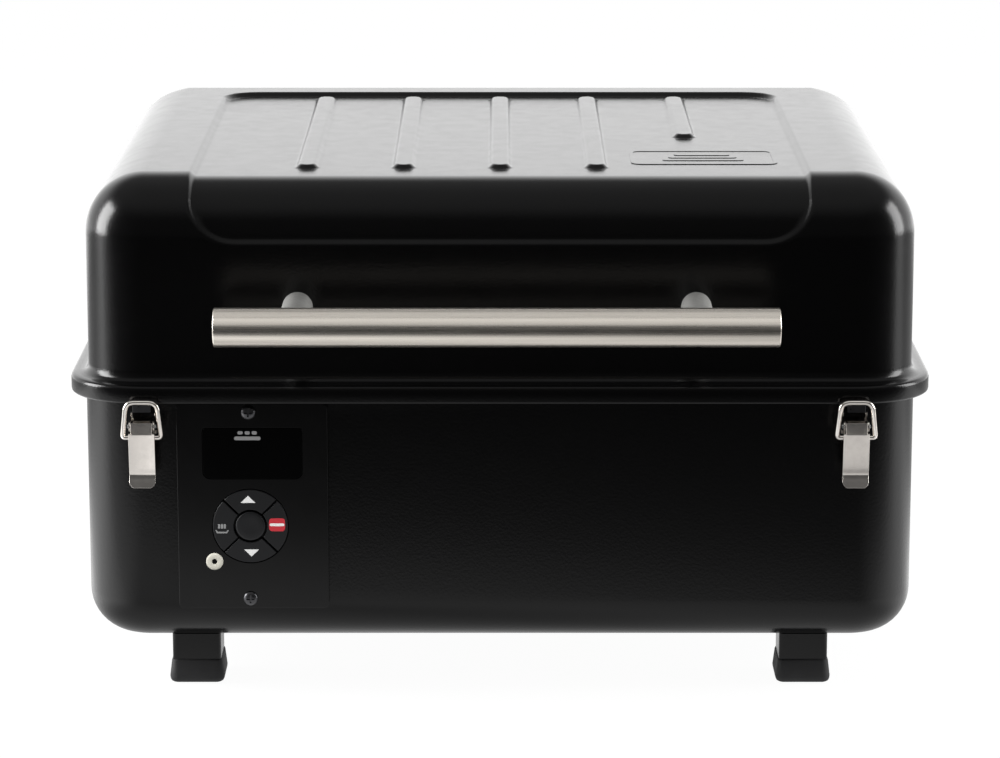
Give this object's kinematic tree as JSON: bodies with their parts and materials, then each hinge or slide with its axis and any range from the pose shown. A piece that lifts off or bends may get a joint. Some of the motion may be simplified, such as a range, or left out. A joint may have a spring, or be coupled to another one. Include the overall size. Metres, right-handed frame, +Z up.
{
  "type": "pellet smoker grill",
  "caption": "Portable tabletop pellet smoker grill: rounded black tub and hinged lid with a bar handle, draw latches, front controls, hopper, auger and stub feet.",
  "frame": {"origin": "bottom centre of the overall box, on the ground plane under the feet", "axes": "+X to the right of someone facing the handle, +Y to the back, +Z up; the handle faces -Y"},
  "size_m": [0.542, 0.5096, 0.33],
  "materials": {
    "black_coat": "gloss black powder coat",
    "panel": "satin black",
    "button": "satin",
    "screen": "gloss",
    "stainless": "brushed lengthwise",
    "nickel": "satin nickel",
    "dark_metal": "black oxide",
    "steel": "galvanised sheet",
    "rubber": "matte",
    "iron": "seasoned",
    "plastic": "matte",
    "silicone": "matte"
  },
  "bodies": {
    "tub": {"auger_motor": "dark_metal", "auger_tube": "steel", "base_shell": "black_coat", "control_panel": "panel", "controller_housing": "plastic", "display_lens": "screen", "drip_tray": "steel", "exhaust_vent": "black_coat", "fan_housing": "plastic", "fire_pot": "steel", "foot_back_left": "rubber", "foot_back_right": "rubber", "foot_front_left": "rubber", "foot_front_right": "rubber", "heat_baffle": "steel", "hinge_base_leaf_left": "dark_metal", "hinge_base_leaf_right": "dark_metal", "hopper": "steel", "hopper_deck": "steel", "hopper_lid_pin": "steel", "igniter_rod": "steel", "latch_base_left": "nickel", "latch_base_right": "nickel", "latch_pin_left": "steel", "latch_pin_right": "steel", "leg_back_left": "black_coat", "leg_back_right": "black_coat", "leg_front_left": "black_coat", "leg_front_right": "black_coat", "panel_screw_lower": "dark_metal", "panel_screw_upper": "dark_metal", "partition_wall": "steel", "power_inlet": "plastic", "probe_jack": "nickel"},
    "lid": {"lid_shell": "black_coat", "lid_gasket": "silicone", "handle_bar": "stainless", "handle_standoff_left": "dark_metal", "handle_screw_left": "steel", "hinge_lid_leaf_left": "dark_metal", "hinge_pin_left": "steel", "latch_keeper_left": "dark_metal", "handle_standoff_right": "dark_metal", "handle_screw_right": "steel", "hinge_lid_leaf_right": "dark_metal", "hinge_pin_right": "steel", "latch_keeper_right": "dark_metal"},
    "latch_lever_left": {"latch_lever_left": "nickel"},
    "latch_bail_left": {"latch_bail_left": "nickel"},
    "latch_lever_right": {"latch_lever_right": "nickel"},
    "latch_bail_right": {"latch_bail_right": "nickel"},
    "hopper_lid": {"hopper_lid": "steel"},
    "button_up": {"button_up": "button"},
    "button_down": {"button_down": "button"},
    "button_left": {"button_left": "button"},
    "button_right": {"button_right": "button"},
    "button_centre": {"button_centre": "button"},
    "auger": {"auger": "steel"},
    "fan_rotor": {"fan_rotor": "plastic"},
    "cooking_grate": {"cooking_grate": "iron"}
  },
  "joints": [
    {"name": "lid_hinge", "type": "hinge", "parent": "tub", "child": "lid", "pos_m": [0, 0.2516, 0.19], "axis": [-1, 0, 0], "range_deg": [0, 95]},
    {"name": "latch_lever_left_swing", "type": "hinge", "parent": "tub", "child": "latch_lever_left", "pos_m": [-0.2224, -0.1956, 0.178], "axis": [-1, 0, 0], "range_deg": [0, 130]},
    {"name": "latch_bail_left_swing", "type": "hinge", "parent": "latch_lever_left", "child": "latch_bail_left", "pos_m": [-0.2224, -0.1971, 0.1712], "axis": [-1, 0, 0], "range_deg": [-130, 0]},
    {"name": "latch_lever_right_swing", "type": "hinge", "parent": "tub", "child": "latch_lever_right", "pos_m": [0.2212, -0.1956, 0.178], "axis": [-1, 0, 0], "range_deg": [0, 130]},
    {"name": "latch_bail_right_swing", "type": "hinge", "parent": "latch_lever_right", "child": "latch_bail_right", "pos_m": [0.2212, -0.1971, 0.1712], "axis": [-1, 0, 0], "range_deg": [-130, 0]},
    {"name": "hopper_lid_hinge", "type": "hinge", "parent": "tub", "child": "hopper_lid", "pos_m": [-0.236, 0.0279, 0.1974], "axis": [0, -1, 0], "range_deg": [0, 85]},
    {"name": "button_up_press", "type": "slide", "parent": "tub", "child": "button_up", "axis": [0, 1, 0], "range_m": [0, 0.0012], "stiffness_N_per_m": 600},
    {"name": "button_down_press", "type": "slide", "parent": "tub", "child": "button_down", "axis": [0, 1, 0], "range_m": [0, 0.0012], "stiffness_N_per_m": 600},
    {"name": "button_left_press", "type": "slide", "parent": "tub", "child": "button_left", "axis": [0, 1, 0], "range_m": [0, 0.0012], "stiffness_N_per_m": 600},
    {"name": "button_right_press", "type": "slide", "parent": "tub", "child": "button_right", "axis": [0, 1, 0], "range_m": [0, 0.0012], "stiffness_N_per_m": 600},
    {"name": "button_centre_press", "type": "slide", "parent": "tub", "child": "button_centre", "axis": [0, 1, 0], "range_m": [0, 0.0012], "stiffness_N_per_m": 600},
    {"name": "auger_drive", "type": "hinge", "parent": "tub", "child": "auger", "pos_m": [0, 0.0279, 0.08], "axis": [1, 0, 0], "continuous": true},
    {"name": "fan_drive", "type": "hinge", "parent": "tub", "child": "fan_rotor", "pos_m": [-0.165, -0.1071, 0.04], "axis": [0, 0, 1], "continuous": true},
    {"name": "grate_lift", "type": "slide", "parent": "tub", "child": "cooking_grate", "axis": [0, 0, 1], "range_m": [0, 0.01]}
  ],
  "couplings": [
    {"joint": "latch_bail_left_swing", "follows": "latch_lever_left_swing", "ratio": -1},
    {"joint": "latch_bail_right_swing", "follows": "latch_lever_right_swing", "ratio": -1}
  ]
}
